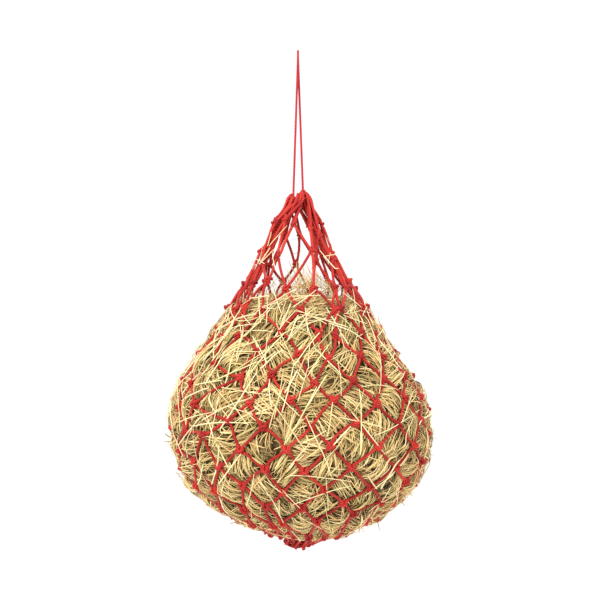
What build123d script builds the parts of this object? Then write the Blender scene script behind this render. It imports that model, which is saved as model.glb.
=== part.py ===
from build123d import *
import math
import os

# Filled hay net, hung by its drawcord.  Millimetres, +Z up.
# Origin: the point of the hanging bight that rests on the hook.  The whole net hangs below it.

os.makedirs("parts", exist_ok=True)

# ---------------------------------------------------------------- driving dimensions
twine_r = 2.2            # netting twine, 4.4 mm laid polyethylene
cord_r = 1.75            # drawcord, 3.5 mm braided
mesh_count = 18          # meshes round the net
mesh_bar = 50.0          # knot to knot along the twine
knot_r = 5.2             # sheet-bend knot, as a ball
knot_half = 2.9          # half the width of the twine's turn inside a knot

hook_wire_r = 2.5        # wire of the hook that the bight hangs on
bight_r = hook_wire_r + cord_r
bight_leg_end_z = -10.0
upper_leg_z = (-14.0, -38.5)
lower_leg_z = (-41.5, -223.5)
leg_foot_x = 7.0         # the two legs stand this far left and right of the axis at the gather
leg_foot_y = 1.0

mouth_ring_r = 34.0      # drawcord circuit through the top meshes, drawn shut
mouth_ring_z = -232.5
loop_clear = 4.6         # twine centre to cord centre where a mesh loops over a cord
mouth_gap_half_deg = 19.35   # no mesh hangs this far each side of the place where the cord's ends leave
end_knot_r = 8.0

base_ring_r = 36.0       # cord that draws the lowest meshes together
base_ring_z = -781.3
base_knot_r = 8.0

# netting surface, as radius and height of the twine's centre line
net_profile = [
    (34.0, -236.5), (34.0, -246.1), (34.5, -255.7), (38.0, -274.9), (45.0, -294.1),
    (54.0, -313.3), (65.0, -332.5), (76.0, -351.7), (88.0, -370.9), (101.0, -390.1),
    (113.0, -409.3), (125.0, -428.5), (138.0, -447.7), (152.0, -466.9), (166.0, -486.1),
    (179.0, -505.3), (191.0, -524.5), (200.0, -543.7), (206.5, -562.9), (210.5, -582.1),
    (211.5, -601.3), (209.5, -620.5), (205.0, -639.7), (198.0, -658.9), (187.5, -678.1),
    (173.5, -697.3), (155.0, -716.5), (135.0, -732.5), (113.0, -745.3), (90.0, -756.5),
    (66.0, -766.1), (47.0, -774.1), (36.0, -781.3),
]
# hay, as radius and height of its outside; it starts below the open neck
hay_profile = [
    (0.0, -377.0), (40.0, -379.5), (72.0, -386.0), (96.0, -395.0), (110.0, -409.3),
    (135.0, -447.7), (163.0, -486.1), (188.0, -524.5), (203.5, -562.9), (208.5, -601.3),
    (202.0, -639.7), (184.0, -676.1), (151.0, -713.5), (109.0, -740.3), (62.0, -757.5),
    (0.0, -765.0),
]


# ---------------------------------------------------------------- helpers
def profile_point(s):
    for (r0, z0), (r1, z1) in zip(net_profile, net_profile[1:]):
        step = math.dist((r0, z0), (r1, z1))
        if s <= step:
            return r0 + (r1 - r0) * s / step, z0 + (z1 - z0) * s / step
        s -= step
    return net_profile[-1]


def bar_between(s0, s1):
    """Straight distance from a knot at s0 to the next knot, half a mesh round and down at s1."""
    r0, z0 = profile_point(s0)
    r1, z1 = profile_point(s1)
    return math.sqrt(r0 * r0 + r1 * r1 - 2 * r0 * r1 * math.cos(math.pi / mesh_count) + (z1 - z0) ** 2)


def knot_levels():
    """Distances down the profile at which each level of knots lies: every bar is mesh_bar long."""
    total = sum(math.dist(a, b) for a, b in zip(net_profile, net_profile[1:]))
    levels = [0.0]
    while levels[-1] < total - 2.0:
        low, high = levels[-1], levels[-1] + 1.3 * mesh_bar
        for _ in range(60):
            mid = (low + high) / 2
            if bar_between(levels[-1], mid) < mesh_bar:
                low = mid
            else:
                high = mid
        levels.append(min(high, total))
    return levels


def polar(r, degrees, z, sideways=0.0):
    a = math.radians(degrees)
    return (r * math.cos(a) - sideways * math.sin(a), r * math.sin(a) + sideways * math.cos(a), z)


def corner_radii(points, largest):
    """One tangent radius for each corner of a closed run of points."""
    radii = []
    count = len(points)
    for i in range(count):
        a, b, c = (Vector(*points[(i + k) % count]) for k in (-1, 0, 1))
        turn = math.radians((b - a).get_angle(c - b))
        room = 0.45 * min((b - a).length, (c - b).length) / math.tan(turn / 2)
        radii.append(min(largest, room))
    return radii


def closed_tube(points, largest, section_r):
    """Builder for a closed tube of straight runs and tangent arcs."""
    with BuildPart() as tube:
        with BuildLine() as line:
            FilletPolyline(*points, radius=corner_radii(points, largest), close=True)
        path = line.wires()[0]
        with BuildSketch(Plane(origin=path @ 0, z_dir=path % 0)):
            Circle(section_r)
        sweep(path=path)
    ratio = tube.part.volume / (path.length * math.pi * section_r ** 2)
    print("  closed run", round(path.length), "mm, volume over section x length", round(ratio, 4))
    return tube.part


def mesh_by_mesh_tube(points, per_mesh, turn_start, largest, section_r):
    """A closed zigzag of twine made one mesh at a time, from the middle of one knot turn to the middle of
    the next, and joined face to face.  turn_start is the index of the first corner of a knot turn."""
    count = len(points)
    units = []
    length = 0.0
    for k in range(count // per_mesh):
        run = [Vector(*points[(turn_start + per_mesh * k + j) % count]) for j in range(per_mesh + 2)]
        run = [(run[0] + run[1]) / 2] + run[1:-1] + [(run[-2] + run[-1]) / 2]
        radii = []
        for i in range(1, len(run) - 1):
            a, b, c = run[i - 1], run[i], run[i + 1]
            turn = math.radians((b - a).get_angle(c - b))
            before = (b - a).length * (0.9 if i == 1 else 0.45)
            after = (c - b).length * (0.9 if i == len(run) - 2 else 0.45)
            radii.append(min(largest, min(before, after) / math.tan(turn / 2)))
        with BuildPart() as unit:
            with BuildLine() as line:
                FilletPolyline(*run, radius=radii)
            path = line.wires()[0]
            with BuildSketch(Plane(origin=path @ 0, z_dir=path % 0)):
                Circle(section_r)
            sweep(path=path)
        units.append(unit.part)
        length += path.length
    with BuildPart() as tube:
        add(units)
    ratio = tube.part.volume / (length * math.pi * section_r ** 2)
    print("  closed run", round(length), "mm, volume over section x length", round(ratio, 4))
    return tube.part


def straight_tube(start, end, section_r):
    with BuildPart() as tube:
        with BuildLine() as line:
            Line(start, end)
        path = line.wires()[0]
        with BuildSketch(Plane(origin=path @ 0, z_dir=path % 0)):
            Circle(section_r)
        sweep(path=path)
    return tube.part


def finish(part, name):
    part.label = name
    export_step(part, f"parts/{name}.step")
    print(name, "solids", len(part.solids()), "volume", round(part.volume), "valid", part.is_valid)


# ---------------------------------------------------------------- drawcord: hanging bight and legs
with BuildPart() as drawcord_bight:
    with BuildLine() as bight_line:
        run_up = Line((0, -bight_r, bight_leg_end_z), (0, -bight_r, -hook_wire_r))
        over = ThreePointArc((0, -bight_r, -hook_wire_r), (0, 0, cord_r), (0, bight_r, -hook_wire_r))
        run_down = Line((0, bight_r, -hook_wire_r), (0, bight_r, bight_leg_end_z))
    bight_path = bight_line.wires()[0]
    with BuildSketch(Plane(origin=bight_path @ 0, z_dir=bight_path % 0)):
        Circle(cord_r)
    sweep(path=bight_path)
finish(drawcord_bight.part, "drawcord_bight")


def leg_point(side, z):
    """Centre of a hanging leg: front and back of the hook at the top, left and right at the gather."""
    t = (bight_leg_end_z - z) / (bight_leg_end_z - lower_leg_z[1])
    return (side * leg_foot_x * t, side * (bight_r + (leg_foot_y - bight_r) * t), z)


for side, word in ((-1, "left"), (1, "right")):
    finish(straight_tube(leg_point(side, upper_leg_z[0]), leg_point(side, upper_leg_z[1]), cord_r),
           f"drawcord_upper_leg_{word}")
    finish(straight_tube(leg_point(side, lower_leg_z[0]), leg_point(side, lower_leg_z[1]), cord_r),
           f"drawcord_leg_{word}")

# ---------------------------------------------------------------- drawcord: circuit through the mouth meshes
# A twelve-sided run rounded almost to a circle; its two ends turn in, side by side, to the end knot.
ring_corner_r = mouth_ring_r / math.cos(math.radians(15))
tail_x = 3.0
circuit = [(-tail_x, 5.0, mouth_ring_z), (-tail_x, mouth_ring_r, mouth_ring_z)]
circuit += [polar(ring_corner_r, 105 + 30 * k, mouth_ring_z) for k in range(12)]
circuit += [(tail_x, mouth_ring_r, mouth_ring_z), (tail_x, 5.0, mouth_ring_z)]
circuit_radii = []
for i in range(1, len(circuit) - 1):
    before, here, after = (Vector(*circuit[i + k]) for k in (-1, 0, 1))
    turn = math.radians((here - before).get_angle(after - here))
    circuit_radii.append(0.45 * min((here - before).length, (after - here).length) / math.tan(turn / 2))
print("drawcord circuit radii", [round(r, 1) for r in circuit_radii])
with BuildPart() as drawcord_mouth_ring:
    with BuildLine() as circuit_line:
        FilletPolyline(*circuit, radius=circuit_radii)
    circuit_path = circuit_line.wires()[0]
    with BuildSketch(Plane(origin=circuit_path @ 0, z_dir=circuit_path % 0)):
        Circle(cord_r)
    sweep(path=circuit_path)
print("drawcord circuit length", round(circuit_path.length),
      "volume over section x length",
      round(drawcord_mouth_ring.part.volume / (circuit_path.length * math.pi * cord_r ** 2), 4))
finish(drawcord_mouth_ring.part, "drawcord_mouth_ring")

with BuildPart() as drawcord_end_knot:
    with Locations((0, 0, mouth_ring_z)):
        Sphere(end_knot_r)
finish(drawcord_end_knot.part, "drawcord_end_knot")

# ---------------------------------------------------------------- netting, round by round
levels = [profile_point(s) for s in knot_levels()]
print("knot levels", [(round(r, 1), round(z, 1)) for r, z in levels])
pitch = 360.0 / mesh_count


def level_angle(level, k):
    """Where knot k of a level stands: each level is half a mesh round from the one above."""
    return 90 + pitch * (k + 0.5 * ((level + 1) % 2))


def knot_turn(level, k, up=0.0, half=knot_half):
    """The two corners of the twine's turn inside knot k; up moves them up the profile."""
    r, z = levels[level]
    if up:
        r0, z0 = levels[level - 1]
        step = math.dist((r0, z0), (r, z))
        r, z = r + (r0 - r) * up / step, z + (z0 - z) * up / step
    a = level_angle(level, k)
    return polar(r, a, z, -half), polar(r, a, z, half)


round_names = [
    "mouth_mesh_round", "neck_mesh_round_1", "neck_mesh_round_2",
    "shoulder_mesh_round_1", "shoulder_mesh_round_2", "shoulder_mesh_round_3",
    "shoulder_mesh_round_4", "shoulder_mesh_round_5",
    "belly_mesh_round_1", "belly_mesh_round_2", "belly_mesh_round_3", "belly_mesh_round_4",
    "base_mesh_round_1", "base_mesh_round_2", "base_mesh_round_3", "base_mesh_round_4",
]
last = len(levels) - 1
assert last == len(round_names)
neck_last = 3            # rounds up to this level belong to the slack neck
neck_stand_off = knot_r + twine_r + 0.8

for number in range(1, last + 1):
    upper, lower = number - 1, number
    stand_off = neck_stand_off if number == neck_last else 0.0
    points = []
    for k in range(mesh_count):
        # upper turn k lies between lower turns k and k+1 or k-1 and k, by level
        shift = 0 if (upper + 1) % 2 else -1
        if number == 1:
            # each mouth mesh loops over the drawcord: up outside it and down inside it;
            # the meshes crowd together a little to leave the cord's ends a way out at the back
            spread = (360 - 2 * mouth_gap_half_deg) / (mesh_count - 1)
            a = 90 + mouth_gap_half_deg + spread * k
            points += [
                polar(mouth_ring_r + loop_clear, a, mouth_ring_z + loop_clear),
                polar(mouth_ring_r - loop_clear, a, mouth_ring_z + loop_clear),
                polar(mouth_ring_r - loop_clear, a, mouth_ring_z - 7.0),
            ]
        else:
            points += list(knot_turn(upper, k))
        lower_k = k + 1 if shift == 0 else k
        if number == last:
            a = level_angle(lower, lower_k)
            # each base mesh loops round the gather cord: over it, inside it and back under it
            points += [
                polar(base_ring_r - loop_clear, a, base_ring_z + loop_clear),
                polar(base_ring_r - loop_clear, a, base_ring_z - loop_clear),
                polar(base_ring_r + 5.0, a, base_ring_z - loop_clear),
            ]
        else:
            points += list(knot_turn(lower, lower_k, stand_off))
    if number == 1:
        tube = mesh_by_mesh_tube(points, 5, 3, 6.0, twine_r)
    elif number == last:
        tube = mesh_by_mesh_tube(points, 5, 0, 6.0, twine_r)
    else:
        tube = mesh_by_mesh_tube(points, 4, 0, 6.0, twine_r)
    finish(tube, round_names[number - 1])

# the sheet-bend knots, row by row, grouped by the part of the net that they are in
knot_groups = {
    "neck_knots": range(1, neck_last),
    "shoulder_knots": range(neck_last, 8),
    "belly_knots": range(8, 12),
    "base_knots": range(12, last),
}
for group_name, group_levels in knot_groups.items():
    centres = [polar(levels[level][0], level_angle(level, k), levels[level][1])
               for level in group_levels for k in range(mesh_count)]
    with BuildPart() as knot_group:
        with Locations(*centres):
            Sphere(knot_r)
    finish(knot_group.part, group_name)

# ---------------------------------------------------------------- base gather
base_corner_r = base_ring_r / math.cos(math.radians(15))
base_points = [polar(base_corner_r, 15 + 30 * k, base_ring_z) for k in range(12)]
finish(closed_tube(base_points, 1000.0, cord_r), "base_gather_cord")

with BuildPart() as base_knot:
    with Locations((0, 0, base_ring_z)):
        Sphere(base_knot_r)
    # the knotted cord's two runs out to the gather ring
    with BuildSketch(Plane.YZ.offset(-base_ring_r + cord_r + 0.3)):
        with Locations((0, base_ring_z)):
            Circle(cord_r)
    extrude(amount=2 * (base_ring_r - cord_r - 0.3))
finish(base_knot.part, "base_knot")

# ---------------------------------------------------------------- hay
with BuildPart() as hay_fill:
    with BuildSketch(Plane.XZ) as hay_section:
        with BuildLine():
            Spline(*hay_profile, tangents=((1, 0), (-1, 0)))
            Line(hay_profile[-1], hay_profile[0])
        make_face()
    revolve(axis=Axis.Z)
finish(hay_fill.part, "hay_fill")
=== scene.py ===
import math

import bpy
import numpy as np
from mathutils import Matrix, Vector, kdtree, noise


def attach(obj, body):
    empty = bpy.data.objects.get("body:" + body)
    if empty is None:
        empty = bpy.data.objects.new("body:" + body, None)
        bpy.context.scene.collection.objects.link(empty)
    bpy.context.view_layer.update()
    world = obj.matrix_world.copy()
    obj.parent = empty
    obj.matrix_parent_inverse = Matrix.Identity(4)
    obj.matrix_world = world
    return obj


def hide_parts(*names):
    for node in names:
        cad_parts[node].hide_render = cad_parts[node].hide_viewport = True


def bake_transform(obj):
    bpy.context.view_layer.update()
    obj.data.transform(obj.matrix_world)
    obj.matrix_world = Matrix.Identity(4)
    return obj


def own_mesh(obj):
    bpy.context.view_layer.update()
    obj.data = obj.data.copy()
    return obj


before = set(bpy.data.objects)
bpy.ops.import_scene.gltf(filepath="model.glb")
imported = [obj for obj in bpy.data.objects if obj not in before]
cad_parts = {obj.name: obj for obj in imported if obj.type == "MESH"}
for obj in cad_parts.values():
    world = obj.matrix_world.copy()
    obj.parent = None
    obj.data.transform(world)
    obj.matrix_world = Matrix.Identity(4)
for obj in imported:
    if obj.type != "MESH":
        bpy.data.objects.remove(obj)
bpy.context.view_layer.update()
scene = bpy.context.scene
rng = np.random.default_rng(1907)
MM = 0.001


# ------------------------------------------------------------------ camera: level, long lens, the net fills the frame
camera_data = bpy.data.cameras.new("camera")
camera = bpy.data.objects.new("camera", camera_data)
scene.collection.objects.link(camera)
camera.location = (0.0032, -2.4, -0.3965)
camera.rotation_euler = (math.pi / 2, 0, 0)
camera_data.sensor_width = 36.0
camera_data.lens = 36.0 / 0.960 * 2.4
camera_data.clip_end = 100.0
scene.camera = camera
scene.view_settings.view_transform = "Standard"


# ------------------------------------------------------------------ small helpers
def unit(v):
    v = np.asarray(v, float)
    return v / np.maximum(np.linalg.norm(v, axis=-1, keepdims=True), 1e-12)


def add_mesh(name, verts, faces, material, smooth=True, layers=None):
    """One mesh object from arrays; faces is a list of index arrays (quads or triangles)."""
    mesh = bpy.data.meshes.new(name)
    verts = np.asarray(verts, np.float32)
    loops = np.concatenate([f.ravel() for f in faces]).astype(np.int32)
    totals = np.concatenate([np.full(len(f), f.shape[1], np.int32) for f in faces])
    starts = np.concatenate([[0], np.cumsum(totals)[:-1]]).astype(np.int32)
    mesh.vertices.add(len(verts))
    mesh.vertices.foreach_set("co", verts.ravel())
    mesh.loops.add(len(loops))
    mesh.loops.foreach_set("vertex_index", loops)
    mesh.polygons.add(len(totals))
    mesh.polygons.foreach_set("loop_start", starts)
    mesh.polygons.foreach_set("loop_total", totals)
    mesh.polygons.foreach_set("use_smooth", np.full(len(totals), bool(smooth)))
    for key, values in (layers or {}).items():
        attribute = mesh.attributes.new(key, "FLOAT", "POINT")
        attribute.data.foreach_set("value", np.asarray(values, np.float32))
    mesh.update(calc_edges=True)
    mesh.validate()
    obj = bpy.data.objects.new(name, mesh)
    scene.collection.objects.link(obj)
    mesh.materials.append(material)
    return obj


def resample(points, step):
    """Evenly spaced points along a polyline, ends kept."""
    points = np.asarray(points, float)
    gap = np.linalg.norm(np.diff(points, axis=0), axis=1)
    along = np.concatenate([[0], np.cumsum(gap)])
    count = max(3, int(round(along[-1] / step)) + 1)
    want = np.linspace(0, along[-1], count)
    return np.stack([np.interp(want, along, points[:, i]) for i in range(3)], 1), want


def smooth_curve(points, per=8, closed=False):
    """Catmull-Rom through the points."""
    p = np.asarray(points, float)
    if closed:
        p = np.concatenate([p[-1:], p, p[:2]])
    else:
        p = np.concatenate([[2 * p[0] - p[1]], p, [2 * p[-1] - p[-2]]])
    out = []
    for i in range(1, len(p) - 2):
        t = np.linspace(0, 1, per, endpoint=False)[:, None]
        a, b, c, d = p[i - 1], p[i], p[i + 1], p[i + 2]
        out.append(0.5 * (2 * b + (c - a) * t + (2 * a - 5 * b + 4 * c - d) * t ** 2
                          + (3 * b - a - 3 * c + d) * t ** 3))
    if not closed:
        out.append(p[-2][None])
    return np.concatenate(out)


def frames(points, closed=False):
    """Tangents and a pair of side vectors carried along the line without twisting."""
    p = np.asarray(points, float)
    if closed:
        t = unit(np.roll(p, -1, 0) - np.roll(p, 1, 0))
    else:
        t = unit(np.gradient(p, axis=0))
    n = np.zeros_like(t)
    first = np.array([0.0, 0.0, 1.0]) if abs(t[0, 2]) < 0.8 else np.array([0.0, 1.0, 0.0])
    n[0] = unit(np.cross(np.cross(t[0], first), t[0]))
    for i in range(1, len(p)):
        v = n[i - 1] - t[i] * (n[i - 1] @ t[i])
        n[i] = v / max(np.linalg.norm(v), 1e-12)
    return t, n, np.cross(t, n)


class Builder:
    """Collects tubes into one mesh."""

    def __init__(self):
        self.verts, self.quads, self.tris, self.layers, self.count = [], [], [], {}, 0

    def put(self, verts, quads=None, tris=None, **layers):
        self.verts.append(verts)
        if quads is not None and len(quads):
            self.quads.append(quads + self.count)
        if tris is not None and len(tris):
            self.tris.append(tris + self.count)
        for key, values in layers.items():
            self.layers.setdefault(key, []).append(np.broadcast_to(np.asarray(values, float).ravel(), (len(verts),)))
        self.count += len(verts)

    def tube(self, points, radius, sides=10, lobes=3, lay=0.014, depth=0.12, closed=False, phase=0.0, tint=0.5,
             braid=0.0, squash=1.0):
        """A laid (lobes) or braided rope along the points. Ends are rounded over and closed."""
        p = np.asarray(points, float)
        t, n, b = frames(p, closed)
        m = len(p)
        gap = np.linalg.norm(np.diff(p, axis=0), axis=1)
        s = np.concatenate([[0], np.cumsum(gap)])
        r = np.broadcast_to(np.asarray(radius, float), (m,)).copy()
        if closed:
            total = s[-1] + np.linalg.norm(p[0] - p[-1])
            turns = max(1, round(total / lay * lobes)) / lobes
            spin = 2 * math.pi * turns * s / total
            # take out the twist that the carried frame has gathered, so that the seam closes
            v = n[-1] - t[0] * (n[-1] @ t[0])
            miss = math.atan2(v @ b[0], v @ n[0])
            unwind = -miss * s / total
        else:
            spin = 2 * math.pi * s / lay
            unwind = np.zeros(m)
        phi = np.linspace(0, 2 * math.pi, sides, endpoint=False)
        grid = phi[None, :] + unwind[:, None]
        shape = 1 - depth + depth * np.cos(lobes * (phi[None, :] - spin[:, None]) + phase)
        if braid:
            shape = shape + braid * np.cos(4 * phi[None, :] + spin[:, None] * 2) * np.cos(4 * phi[None, :] - spin[:, None] * 2)
        rr = r[:, None] * shape
        ring = (p[:, None, :] + rr[..., None] * (np.cos(grid)[..., None] * n[:, None, :]
                                                 + squash * np.sin(grid)[..., None] * b[:, None, :]))
        i = np.arange(m - 1 if not closed else m)[:, None]
        j = np.arange(sides)[None, :]
        k = (i + 1) % m
        jn = (j + 1) % sides
        quads = np.stack(np.broadcast_arrays(i * sides + j, i * sides + jn, k * sides + jn, k * sides + j), -1).reshape(-1, 4)
        verts = ring.reshape(-1, 3)
        groove = (0.5 + 0.5 * np.cos(lobes * (phi[None, :] - spin[:, None]) + phase)).ravel()
        along = np.repeat(s, sides)
        tris = None
        if not closed:
            tips = np.stack([p[0] - t[0] * r[0] * 0.5, p[-1] + t[-1] * r[-1] * 0.5])
            a0, a1 = len(verts), len(verts) + 1
            verts = np.concatenate([verts, tips])
            jj = np.arange(sides)
            nx = (jj + 1) % sides
            base = (m - 1) * sides
            tris = np.concatenate([np.stack([nx, jj, np.full(sides, a0)], 1),
                                   np.stack([base + jj, base + nx, np.full(sides, a1)], 1)])
            groove = np.concatenate([groove, [0.5, 0.5]])
            along = np.concatenate([along, [0, s[-1]]])
        self.put(verts, quads, tris, groove=groove, along=along, tint=np.full(len(verts), tint))

    def make(self, name, material, smooth=True):
        faces = []
        if self.quads:
            faces.append(np.concatenate(self.quads))
        if self.tris:
            faces.append(np.concatenate(self.tris))
        layers = {key: np.concatenate(values) for key, values in self.layers.items()}
        return add_mesh(name, np.concatenate(self.verts), faces, material, smooth, layers)


def nurbs_line(points):
    """The smooth line of a cord: a NURBS spline with the route's points as its control points."""
    curve = bpy.data.curves.new("route", "CURVE")
    curve.dimensions = "3D"
    curve.resolution_u = 16
    spline = curve.splines.new("NURBS")
    spline.points.add(len(points) - 1)
    for point, co in zip(spline.points, points):
        point.co = (*co, 1.0)
    spline.order_u = 3
    spline.use_endpoint_u = True
    spline.resolution_u = 16
    holder = bpy.data.objects.new("route", curve)
    scene.collection.objects.link(holder)
    mesh = bpy.data.meshes.new_from_object(holder)
    line = np.array([v.co for v in mesh.vertices], float)
    bpy.data.objects.remove(holder)
    bpy.data.meshes.remove(mesh)
    return line


# ------------------------------------------------------------------ materials
def new_material(name):
    material = bpy.data.materials.new(name)
    material.use_nodes = True
    tree = material.node_tree
    tree.nodes.clear()
    out = tree.nodes.new("ShaderNodeOutputMaterial")
    shader = tree.nodes.new("ShaderNodeBsdfPrincipled")
    tree.links.new(shader.outputs[0], out.inputs[0])
    return material, tree, shader


def node(tree, kind, **settings):
    n = tree.nodes.new(kind)
    for key, value in settings.items():
        setattr(n, key, value)
    return n


def ramp(tree, stops, source):
    n = tree.nodes.new("ShaderNodeValToRGB")
    while len(n.color_ramp.elements) < len(stops):
        n.color_ramp.elements.new(0.5)
    for element, (at, colour) in zip(n.color_ramp.elements, stops):
        element.position = at
        element.color = (*colour, 1.0)
    tree.links.new(source, n.inputs[0])
    return n


def math_node(tree, operation, a, b=None):
    n = node(tree, "ShaderNodeMath", operation=operation)
    for socket, value in zip(n.inputs, (a, b)):
        if value is None:
            continue
        if isinstance(value, (int, float)):
            socket.default_value = value
        else:
            tree.links.new(value, socket)
    return n.outputs[0]


def mix_colour(tree, blend, factor, a, b):
    n = node(tree, "ShaderNodeMix", data_type="RGBA", blend_type=blend)
    for socket, value in ((n.inputs[0], factor), (n.inputs[6], a), (n.inputs[7], b)):
        if isinstance(value, (int, float)):
            socket.default_value = value
        elif isinstance(value, tuple):
            socket.default_value = (*value, 1.0)
        else:
            tree.links.new(value, socket)
    return n.outputs[2]


def rope_material(name, dark, mid, light, roughness, grain):
    """Plastic fibre rope: painted shade darkens the lay's grooves, filaments run along it, and the dye is uneven."""
    material, tree, shader = new_material(name)
    tex = node(tree, "ShaderNodeTexCoord")
    groove = node(tree, "ShaderNodeAttribute", attribute_name="groove")
    tint = node(tree, "ShaderNodeAttribute", attribute_name="tint")
    along = node(tree, "ShaderNodeAttribute", attribute_name="along")
    big = node(tree, "ShaderNodeTexNoise")
    big.inputs["Scale"].default_value = 38.0
    big.inputs["Detail"].default_value = 3.0
    tree.links.new(tex.outputs["Object"], big.inputs["Vector"])
    fine = node(tree, "ShaderNodeTexNoise")
    fine.inputs["Scale"].default_value = grain
    fine.inputs["Detail"].default_value = 4.0
    tree.links.new(tex.outputs["Object"], fine.inputs["Vector"])
    # filaments: thin streaks that follow the lay
    combine = node(tree, "ShaderNodeCombineXYZ")
    tree.links.new(math_node(tree, "MULTIPLY", along.outputs["Fac"], 260.0), combine.inputs[0])
    tree.links.new(math_node(tree, "MULTIPLY", groove.outputs["Fac"], 9.0), combine.inputs[1])
    tree.links.new(math_node(tree, "MULTIPLY", tint.outputs["Fac"], 50.0), combine.inputs[2])
    thread = node(tree, "ShaderNodeTexNoise")
    thread.inputs["Scale"].default_value = 1.0
    thread.inputs["Detail"].default_value = 2.0
    tree.links.new(combine.outputs[0], thread.inputs["Vector"])
    # painted shade: the groove term colours the lay's grooves darker and its crests lighter
    value = math_node(tree, "ADD", math_node(tree, "MULTIPLY", groove.outputs["Fac"], 0.42),
                      math_node(tree, "MULTIPLY", big.outputs["Fac"], 0.30))
    value = math_node(tree, "ADD", value, math_node(tree, "MULTIPLY", thread.outputs["Fac"], 0.26))
    value = math_node(tree, "ADD", value, math_node(tree, "MULTIPLY", tint.outputs["Fac"], 0.26))
    colour = ramp(tree, [(0.25, dark), (0.60, mid), (1.0, light)], value)
    tree.links.new(colour.outputs[0], shader.inputs["Base Color"])
    rough = math_node(tree, "ADD", math_node(tree, "MULTIPLY", thread.outputs["Fac"], 0.25), roughness - 0.12)
    tree.links.new(rough, shader.inputs["Roughness"])
    shader.inputs["Sheen Weight"].default_value = 0.04
    shader.inputs["Sheen Roughness"].default_value = 0.5
    shader.inputs["Specular IOR Level"].default_value = 0.22
    height = math_node(tree, "ADD", math_node(tree, "MULTIPLY", groove.outputs["Fac"], 0.5),
                       math_node(tree, "MULTIPLY", math_node(tree, "ADD", thread.outputs["Fac"], fine.outputs["Fac"]), 0.35))
    bump = node(tree, "ShaderNodeBump")
    bump.inputs["Strength"].default_value = 0.55
    bump.inputs["Distance"].default_value = 0.0006
    tree.links.new(height, bump.inputs["Height"])
    tree.links.new(bump.outputs[0], shader.inputs["Normal"])
    return material


twine_material = rope_material("red_netting_twine", (0.105, 0.003, 0.003), (0.360, 0.012, 0.010), (0.620, 0.050, 0.028), 0.62, 900.0)
cord_material = rope_material("red_drawcord", (0.18, 0.003, 0.008), (0.40, 0.010, 0.018), (0.56, 0.032, 0.036), 0.60, 1400.0)


def hay_material(name, stops, roughness, translucent):
    material, tree, shader = new_material(name)
    tex = node(tree, "ShaderNodeTexCoord")
    tint = node(tree, "ShaderNodeAttribute", attribute_name="tint")
    along = node(tree, "ShaderNodeAttribute", attribute_name="along")
    crease = node(tree, "ShaderNodeAttribute", attribute_name="crease")
    patch = node(tree, "ShaderNodeTexNoise")
    patch.inputs["Scale"].default_value = 26.0
    patch.inputs["Detail"].default_value = 4.0
    tree.links.new(tex.outputs["Object"], patch.inputs["Vector"])
    combine = node(tree, "ShaderNodeCombineXYZ")
    tree.links.new(math_node(tree, "MULTIPLY", along.outputs["Fac"], 4.0), combine.inputs[0])
    tree.links.new(math_node(tree, "MULTIPLY", crease.outputs["Fac"], 14.0), combine.inputs[1])
    tree.links.new(math_node(tree, "MULTIPLY", tint.outputs["Fac"], 977.0), combine.inputs[2])
    vein = node(tree, "ShaderNodeTexNoise")
    vein.inputs["Scale"].default_value = 1.0
    vein.inputs["Detail"].default_value = 3.0
    tree.links.new(combine.outputs[0], vein.inputs["Vector"])
    value = math_node(tree, "ADD", math_node(tree, "MULTIPLY", tint.outputs["Fac"], 0.66),
                      math_node(tree, "MULTIPLY", patch.outputs["Fac"], 0.22))
    value = math_node(tree, "ADD", value, math_node(tree, "MULTIPLY", vein.outputs["Fac"], 0.30))
    colour = ramp(tree, stops, value)
    hue = node(tree, "ShaderNodeAttribute", attribute_name="hue")
    shade = ramp(tree, [(0.0, (0.80, 0.92, 0.70)), (0.40, (1.0, 1.0, 1.0)), (1.0, (1.0, 0.88, 0.74))], hue.outputs["Fac"])
    tree.links.new(mix_colour(tree, "MULTIPLY", 1.0, colour.outputs[0], shade.outputs[0]), shader.inputs["Base Color"])
    tree.links.new(math_node(tree, "ADD", math_node(tree, "MULTIPLY", vein.outputs["Fac"], 0.25), roughness), shader.inputs["Roughness"])
    shader.inputs["Specular IOR Level"].default_value = 0.35
    shader.inputs["Sheen Weight"].default_value = 0.15
    bump = node(tree, "ShaderNodeBump")
    bump.inputs["Strength"].default_value = 0.6
    bump.inputs["Distance"].default_value = 0.0005
    tree.links.new(vein.outputs["Fac"], bump.inputs["Height"])
    tree.links.new(bump.outputs[0], shader.inputs["Normal"])
    return material


# the ramp's dark end is painted shade, reached by the deep layers' low tints further down
hay_blade_material = hay_material(
    "hay_blades",
    [(0.22, (0.110, 0.066, 0.019)), (0.40, (0.312, 0.205, 0.064)), (0.56, (0.535, 0.374, 0.142)),
     (0.74, (0.715, 0.530, 0.236)), (0.98, (0.915, 0.745, 0.405))], 0.55, 0.2)
hay_stalk_material = hay_material(
    "hay_stalks",
    [(0.20, (0.50, 0.37, 0.16)), (0.55, (0.77, 0.61, 0.33)), (0.95, (0.94, 0.81, 0.52))], 0.50, 0.1)


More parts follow.
